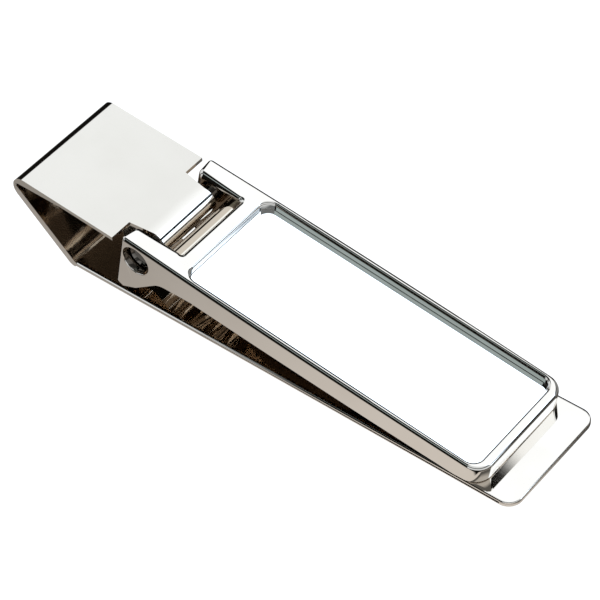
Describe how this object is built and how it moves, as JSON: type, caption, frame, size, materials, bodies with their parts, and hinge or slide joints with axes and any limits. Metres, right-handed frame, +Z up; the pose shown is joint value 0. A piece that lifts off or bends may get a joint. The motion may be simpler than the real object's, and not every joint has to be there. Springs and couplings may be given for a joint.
{
  "type": "money clip",
  "caption": "Slim money clip: a folded metal strip with a cam lever on a rivet hinge; the lever's recessed window holds an inlay plate and its nose presses on the base plate.",
  "frame": {"origin": "middle of the clip's length and width, on the underside of the base plate", "axes": "+X along the base plate towards its free end, +Y across the width, +Z up from the base plate to the lever"},
  "size_m": [0.0708, 0.0164, 0.0103],
  "materials": {
    "strip_metal": "mirror-polished bright nickel plate, slightly warm",
    "lever_metal": "mirror-polished bright nickel plate, slightly warm",
    "rivet_metal": "polished, a little darker, domed head faces",
    "inlay_metal": "bright plain polished plate, blank",
    "adhesive": "thin pale double-sided film, hidden"
  },
  "bodies": {
    "clip_body": {"spring_strip": "strip_metal"},
    "lever": {"lever_frame": "lever_metal", "hinge_rivet": "rivet_metal", "inlay_plate": "inlay_metal", "adhesive_film": "adhesive"}
  },
  "joints": [
    {"name": "lever_hinge", "type": "hinge", "parent": "clip_body", "child": "lever", "pos_m": [-0.0169, 0, 0.007], "axis": [0, -1, 0], "range_deg": [0, 100]}
  ]
}
